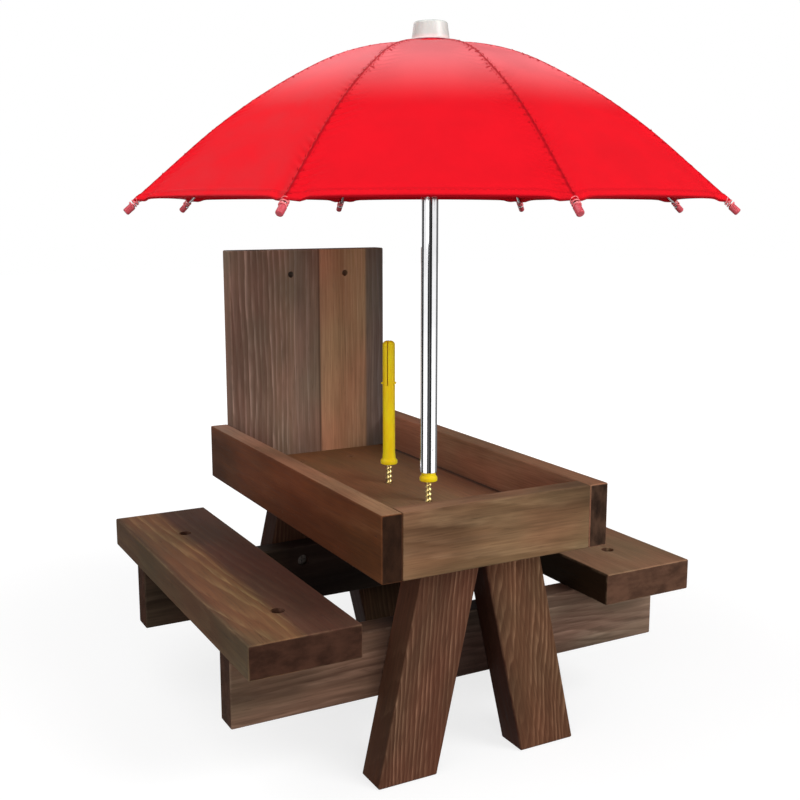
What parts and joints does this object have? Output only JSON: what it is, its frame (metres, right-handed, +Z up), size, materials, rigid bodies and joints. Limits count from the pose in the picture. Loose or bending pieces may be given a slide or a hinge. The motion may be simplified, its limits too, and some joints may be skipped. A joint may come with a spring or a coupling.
{
  "type": "squirrel picnic table feeder",
  "caption": "Small dark-stained wooden picnic table feeder with a railed tray, backboard, two benches, corn pegs and a folding red umbrella standing on a peg.",
  "frame": {"origin": "On the ground straight below the umbrella pole, which stands on the Z axis.", "axes": "+Z up, the open front of the tray faces -Y, the backboard stands at +Y, +X to the right seen from the front."},
  "size_m": [0.3368, 0.3368, 0.4045],
  "materials": {
    "brown_wood": "dark brown carbonised softwood, straight grain, dull",
    "zinc_steel": "zinc plated screw steel",
    "yellow_zinc": "yellow zinc plated wood screw",
    "yellow_plastic": "moulded yellow nylon, satin",
    "chrome_tube": "bright chromed steel tube",
    "white_plastic": "moulded white plastic",
    "steel_wire": "plated steel wire",
    "milky_plastic": "translucent milky plastic",
    "red_cloth": "thin bright red woven nylon"
  },
  "bodies": {
    "table": {"tray_floor": "brown_wood", "left_tray_rail": "brown_wood", "right_tray_rail": "brown_wood", "front_tray_rail": "brown_wood", "backboard": "brown_wood", "left_bench_seat": "brown_wood", "right_bench_seat": "brown_wood", "front_cross_beam": "brown_wood", "rear_cross_beam": "brown_wood", "front_left_leg": "brown_wood", "front_right_leg": "brown_wood", "rear_left_leg": "brown_wood", "rear_right_leg": "brown_wood", "bench_screws": "zinc_steel", "leg_screws": "zinc_steel", "floor_screws": "zinc_steel", "rail_brads": "zinc_steel", "peg_screws": "yellow_zinc"},
    "corn_peg_body": {"corn_peg": "yellow_plastic"},
    "umbrella_peg_body": {"umbrella_peg": "yellow_plastic"},
    "umbrella": {"umbrella_pole": "chrome_tube", "umbrella_crown": "white_plastic", "crown_ring": "steel_wire", "umbrella_cap": "milky_plastic", "top_rosette": "red_cloth"},
    "runner": {"umbrella_runner": "white_plastic", "runner_ring": "steel_wire"},
    "rib_1_body": {"rib_1": "steel_wire"},
    "stretcher_1_body": {"stretcher_1": "steel_wire"},
    "canopy_gore_1_left_body": {"canopy_gore_1_left": "red_cloth"},
    "canopy_gore_8_right_body": {"canopy_gore_8_right": "red_cloth"},
    "rib_2_body": {"rib_2": "steel_wire"},
    "stretcher_2_body": {"stretcher_2": "steel_wire"},
    "canopy_gore_2_left_body": {"canopy_gore_2_left": "red_cloth"},
    "canopy_gore_1_right_body": {"canopy_gore_1_right": "red_cloth"},
    "rib_3_body": {"rib_3": "steel_wire"},
    "stretcher_3_body": {"stretcher_3": "steel_wire"},
    "canopy_gore_3_left_body": {"canopy_gore_3_left": "red_cloth"},
    "canopy_gore_2_right_body": {"canopy_gore_2_right": "red_cloth"},
    "rib_4_body": {"rib_4": "steel_wire"},
    "stretcher_4_body": {"stretcher_4": "steel_wire"},
    "canopy_gore_4_left_body": {"canopy_gore_4_left": "red_cloth"},
    "canopy_gore_3_right_body": {"canopy_gore_3_right": "red_cloth"},
    "rib_5_body": {"rib_5": "steel_wire"},
    "stretcher_5_body": {"stretcher_5": "steel_wire"},
    "canopy_gore_5_left_body": {"canopy_gore_5_left": "red_cloth"},
    "canopy_gore_4_right_body": {"canopy_gore_4_right": "red_cloth"},
    "rib_6_body": {"rib_6": "steel_wire"},
    "stretcher_6_body": {"stretcher_6": "steel_wire"},
    "canopy_gore_6_left_body": {"canopy_gore_6_left": "red_cloth"},
    "canopy_gore_5_right_body": {"canopy_gore_5_right": "red_cloth"},
    "rib_7_body": {"rib_7": "steel_wire"},
    "stretcher_7_body": {"stretcher_7": "steel_wire"},
    "canopy_gore_7_left_body": {"canopy_gore_7_left": "red_cloth"},
    "canopy_gore_6_right_body": {"canopy_gore_6_right": "red_cloth"},
    "rib_8_body": {"rib_8": "steel_wire"},
    "stretcher_8_body": {"stretcher_8": "steel_wire"},
    "canopy_gore_8_left_body": {"canopy_gore_8_left": "red_cloth"},
    "canopy_gore_7_right_body": {"canopy_gore_7_right": "red_cloth"}
  },
  "joints": [
    {"name": "corn_peg_turn", "type": "hinge", "parent": "table", "child": "corn_peg_body", "pos_m": [0, 0.05, 0.18], "axis": [0, 0, 1], "continuous": true},
    {"name": "umbrella_turn", "type": "hinge", "parent": "table", "child": "umbrella_peg_body", "pos_m": [0, 0, 0.18], "axis": [0, 0, 1], "continuous": true},
    {"name": "umbrella_lift", "type": "slide", "parent": "umbrella_peg_body", "child": "umbrella", "axis": [0, 0, 1], "range_m": [0, 0.085]},
    {"name": "runner_slide", "type": "slide", "parent": "umbrella", "child": "runner", "axis": [0, 0, 1], "range_m": [-0.09007, 0], "deforming": ["canopy_gore_1_left", "canopy_gore_8_right", "canopy_gore_2_left", "canopy_gore_1_right", "canopy_gore_3_left", "canopy_gore_2_right", "canopy_gore_4_left", "canopy_gore_3_right", "canopy_gore_5_left", "canopy_gore_4_right", "canopy_gore_6_left", "canopy_gore_5_right", "canopy_gore_7_left", "canopy_gore_6_right", "canopy_gore_8_left", "canopy_gore_7_right"]},
    {"name": "rib_1_fold", "type": "hinge", "parent": "umbrella", "child": "rib_1_body", "pos_m": [0.00843, -0.00111, 0.39096], "axis": [0.1305, 0.9914, 0], "range_deg": [-0.5, 58.5]},
    {"name": "stretcher_1_swing", "type": "hinge", "parent": "runner", "child": "stretcher_1_body", "pos_m": [0.00843, -0.00111, 0.32896], "axis": [0.1305, 0.9914, 0], "range_deg": [-48.39, 0.5]},
    {"name": "canopy_gore_1_left_fold", "type": "hinge", "parent": "rib_1_body", "child": "canopy_gore_1_left_body", "pos_m": [0.00865, 0.00057, 0.39096], "axis": [-0.6581, -0.6852, -0.3121], "range_deg": [-0.5, 25.1]},
    {"name": "canopy_gore_8_right_fold", "type": "hinge", "parent": "rib_1_body", "child": "canopy_gore_8_right_body", "pos_m": [0.00821, -0.00279, 0.39096], "axis": [0.4583, -0.8322, 0.3121], "range_deg": [-0.5, 25.1]},
    {"name": "rib_2_fold", "type": "hinge", "parent": "umbrella", "child": "rib_2_body", "pos_m": [0.00674, 0.00517, 0.39096], "axis": [-0.6088, 0.7934, 0], "range_deg": [-0.5, 58.5]},
    {"name": "stretcher_2_swing", "type": "hinge", "parent": "runner", "child": "stretcher_2_body", "pos_m": [0.00674, 0.00517, 0.32896], "axis": [-0.6088, 0.7934, 0], "range_deg": [-48.39, 0.5]},
    {"name": "canopy_gore_2_left_fold", "type": "hinge", "parent": "rib_2_body", "child": "canopy_gore_2_left_body", "pos_m": [0.00571, 0.00652, 0.39096], "axis": [0.0192, -0.9499, -0.3121], "range_deg": [-0.5, 25.1]},
    {"name": "canopy_gore_1_right_fold", "type": "hinge", "parent": "rib_2_body", "child": "canopy_gore_1_right_body", "pos_m": [0.00777, 0.00383, 0.39096], "axis": [0.9125, -0.2644, 0.3121], "range_deg": [-0.5, 25.1]},
    {"name": "rib_3_fold", "type": "hinge", "parent": "umbrella", "child": "rib_3_body", "pos_m": [0.00111, 0.00843, 0.39096], "axis": [-0.9914, 0.1305, 0], "range_deg": [-0.5, 58.5]},
    {"name": "stretcher_3_swing", "type": "hinge", "parent": "runner", "child": "stretcher_3_body", "pos_m": [0.00111, 0.00843, 0.32896], "axis": [-0.9914, 0.1305, 0], "range_deg": [-48.39, 0.5]},
    {"name": "canopy_gore_3_left_fold", "type": "hinge", "parent": "rib_3_body", "child": "canopy_gore_3_left_body", "pos_m": [-0.00057, 0.00865, 0.39096], "axis": [0.6852, -0.6581, -0.3121], "range_deg": [-0.5, 25.1]},
    {"name": "canopy_gore_2_right_fold", "type": "hinge", "parent": "rib_3_body", "child": "canopy_gore_2_right_body", "pos_m": [0.00279, 0.00821, 0.39096], "axis": [0.8322, 0.4583, 0.3121], "range_deg": [-0.5, 25.1]},
    {"name": "rib_4_fold", "type": "hinge", "parent": "umbrella", "child": "rib_4_body", "pos_m": [-0.00517, 0.00674, 0.39096], "axis": [-0.7934, -0.6088, 0], "range_deg": [-0.5, 58.5]},
    {"name": "stretcher_4_swing", "type": "hinge", "parent": "runner", "child": "stretcher_4_body", "pos_m": [-0.00517, 0.00674, 0.32896], "axis": [-0.7934, -0.6088, 0], "range_deg": [-48.39, 0.5]},
    {"name": "canopy_gore_4_left_fold", "type": "hinge", "parent": "rib_4_body", "child": "canopy_gore_4_left_body", "pos_m": [-0.00652, 0.00571, 0.39096], "axis": [0.9499, 0.0192, -0.3121], "range_deg": [-0.5, 25.1]},
    {"name": "canopy_gore_3_right_fold", "type": "hinge", "parent": "rib_4_body", "child": "canopy_gore_3_right_body", "pos_m": [-0.00383, 0.00777, 0.39096], "axis": [0.2644, 0.9125, 0.3121], "range_deg": [-0.5, 25.1]},
    {"name": "rib_5_fold", "type": "hinge", "parent": "umbrella", "child": "rib_5_body", "pos_m": [-0.00843, 0.00111, 0.39096], "axis": [-0.1305, -0.9914, 0], "range_deg": [-0.5, 58.5]},
    {"name": "stretcher_5_swing", "type": "hinge", "parent": "runner", "child": "stretcher_5_body", "pos_m": [-0.00843, 0.00111, 0.32896], "axis": [-0.1305, -0.9914, 0], "range_deg": [-48.39, 0.5]},
    {"name": "canopy_gore_5_left_fold", "type": "hinge", "parent": "rib_5_body", "child": "canopy_gore_5_left_body", "pos_m": [-0.00865, -0.00057, 0.39096], "axis": [0.6581, 0.6852, -0.3121], "range_deg": [-0.5, 25.1]},
    {"name": "canopy_gore_4_right_fold", "type": "hinge", "parent": "rib_5_body", "child": "canopy_gore_4_right_body", "pos_m": [-0.00821, 0.00279, 0.39096], "axis": [-0.4583, 0.8322, 0.3121], "range_deg": [-0.5, 25.1]},
    {"name": "rib_6_fold", "type": "hinge", "parent": "umbrella", "child": "rib_6_body", "pos_m": [-0.00674, -0.00517, 0.39096], "axis": [0.6088, -0.7934, 0], "range_deg": [-0.5, 58.5]},
    {"name": "stretcher_6_swing", "type": "hinge", "parent": "runner", "child": "stretcher_6_body", "pos_m": [-0.00674, -0.00517, 0.32896], "axis": [0.6088, -0.7934, 0], "range_deg": [-48.39, 0.5]},
    {"name": "canopy_gore_6_left_fold", "type": "hinge", "parent": "rib_6_body", "child": "canopy_gore_6_left_body", "pos_m": [-0.00571, -0.00652, 0.39096], "axis": [-0.0192, 0.9499, -0.3121], "range_deg": [-0.5, 25.1]},
    {"name": "canopy_gore_5_right_fold", "type": "hinge", "parent": "rib_6_body", "child": "canopy_gore_5_right_body", "pos_m": [-0.00777, -0.00383, 0.39096], "axis": [-0.9125, 0.2644, 0.3121], "range_deg": [-0.5, 25.1]},
    {"name": "rib_7_fold", "type": "hinge", "parent": "umbrella", "child": "rib_7_body", "pos_m": [-0.00111, -0.00843, 0.39096], "axis": [0.9914, -0.1305, 0], "range_deg": [-0.5, 58.5]},
    {"name": "stretcher_7_swing", "type": "hinge", "parent": "runner", "child": "stretcher_7_body", "pos_m": [-0.00111, -0.00843, 0.32896], "axis": [0.9914, -0.1305, 0], "range_deg": [-48.39, 0.5]},
    {"name": "canopy_gore_7_left_fold", "type": "hinge", "parent": "rib_7_body", "child": "canopy_gore_7_left_body", "pos_m": [0.00057, -0.00865, 0.39096], "axis": [-0.6852, 0.6581, -0.3121], "range_deg": [-0.5, 25.1]},
    {"name": "canopy_gore_6_right_fold", "type": "hinge", "parent": "rib_7_body", "child": "canopy_gore_6_right_body", "pos_m": [-0.00279, -0.00821, 0.39096], "axis": [-0.8322, -0.4583, 0.3121], "range_deg": [-0.5, 25.1]},
    {"name": "rib_8_fold", "type": "hinge", "parent": "umbrella", "child": "rib_8_body", "pos_m": [0.00517, -0.00674, 0.39096], "axis": [0.7934, 0.6088, 0], "range_deg": [-0.5, 58.5]},
    {"name": "stretcher_8_swing", "type": "hinge", "parent": "runner", "child": "stretcher_8_body", "pos_m": [0.00517, -0.00674, 0.32896], "axis": [0.7934, 0.6088, 0], "range_deg": [-48.39, 0.5]},
    {"name": "canopy_gore_8_left_fold", "type": "hinge", "parent": "rib_8_body", "child": "canopy_gore_8_left_body", "pos_m": [0.00652, -0.00571, 0.39096], "axis": [-0.9499, -0.0192, -0.3121], "range_deg": [-0.5, 25.1]},
    {"name": "canopy_gore_7_right_fold", "type": "hinge", "parent": "rib_8_body", "child": "canopy_gore_7_right_body", "pos_m": [0.00383, -0.00777, 0.39096], "axis": [-0.2644, -0.9125, 0.3121], "range_deg": [-0.5, 25.1]}
  ],
  "couplings": [
    {"joint": "rib_1_fold", "follows": "runner_slide", "rad_per_m": -11.238},
    {"joint": "stretcher_1_swing", "follows": "runner_slide", "rad_per_m": 9.2794},
    {"joint": "canopy_gore_1_left_fold", "follows": "runner_slide", "rad_per_m": -4.7669},
    {"joint": "canopy_gore_8_right_fold", "follows": "runner_slide", "rad_per_m": -4.7669},
    {"joint": "rib_2_fold", "follows": "runner_slide", "rad_per_m": -11.238},
    {"joint": "stretcher_2_swing", "follows": "runner_slide", "rad_per_m": 9.2794},
    {"joint": "canopy_gore_2_left_fold", "follows": "runner_slide", "rad_per_m": -4.7669},
    {"joint": "canopy_gore_1_right_fold", "follows": "runner_slide", "rad_per_m": -4.7669},
    {"joint": "rib_3_fold", "follows": "runner_slide", "rad_per_m": -11.238},
    {"joint": "stretcher_3_swing", "follows": "runner_slide", "rad_per_m": 9.2794},
    {"joint": "canopy_gore_3_left_fold", "follows": "runner_slide", "rad_per_m": -4.7669},
    {"joint": "canopy_gore_2_right_fold", "follows": "runner_slide", "rad_per_m": -4.7669},
    {"joint": "rib_4_fold", "follows": "runner_slide", "rad_per_m": -11.238},
    {"joint": "stretcher_4_swing", "follows": "runner_slide", "rad_per_m": 9.2794},
    {"joint": "canopy_gore_4_left_fold", "follows": "runner_slide", "rad_per_m": -4.7669},
    {"joint": "canopy_gore_3_right_fold", "follows": "runner_slide", "rad_per_m": -4.7669},
    {"joint": "rib_5_fold", "follows": "runner_slide", "rad_per_m": -11.238},
    {"joint": "stretcher_5_swing", "follows": "runner_slide", "rad_per_m": 9.2794},
    {"joint": "canopy_gore_5_left_fold", "follows": "runner_slide", "rad_per_m": -4.7669},
    {"joint": "canopy_gore_4_right_fold", "follows": "runner_slide", "rad_per_m": -4.7669},
    {"joint": "rib_6_fold", "follows": "runner_slide", "rad_per_m": -11.238},
    {"joint": "stretcher_6_swing", "follows": "runner_slide", "rad_per_m": 9.2794},
    {"joint": "canopy_gore_6_left_fold", "follows": "runner_slide", "rad_per_m": -4.7669},
    {"joint": "canopy_gore_5_right_fold", "follows": "runner_slide", "rad_per_m": -4.7669},
    {"joint": "rib_7_fold", "follows": "runner_slide", "rad_per_m": -11.238},
    {"joint": "stretcher_7_swing", "follows": "runner_slide", "rad_per_m": 9.2794},
    {"joint": "canopy_gore_7_left_fold", "follows": "runner_slide", "rad_per_m": -4.7669},
    {"joint": "canopy_gore_6_right_fold", "follows": "runner_slide", "rad_per_m": -4.7669},
    {"joint": "rib_8_fold", "follows": "runner_slide", "rad_per_m": -11.238},
    {"joint": "stretcher_8_swing", "follows": "runner_slide", "rad_per_m": 9.2794},
    {"joint": "canopy_gore_8_left_fold", "follows": "runner_slide", "rad_per_m": -4.7669},
    {"joint": "canopy_gore_7_right_fold", "follows": "runner_slide", "rad_per_m": -4.7669}
  ]
}
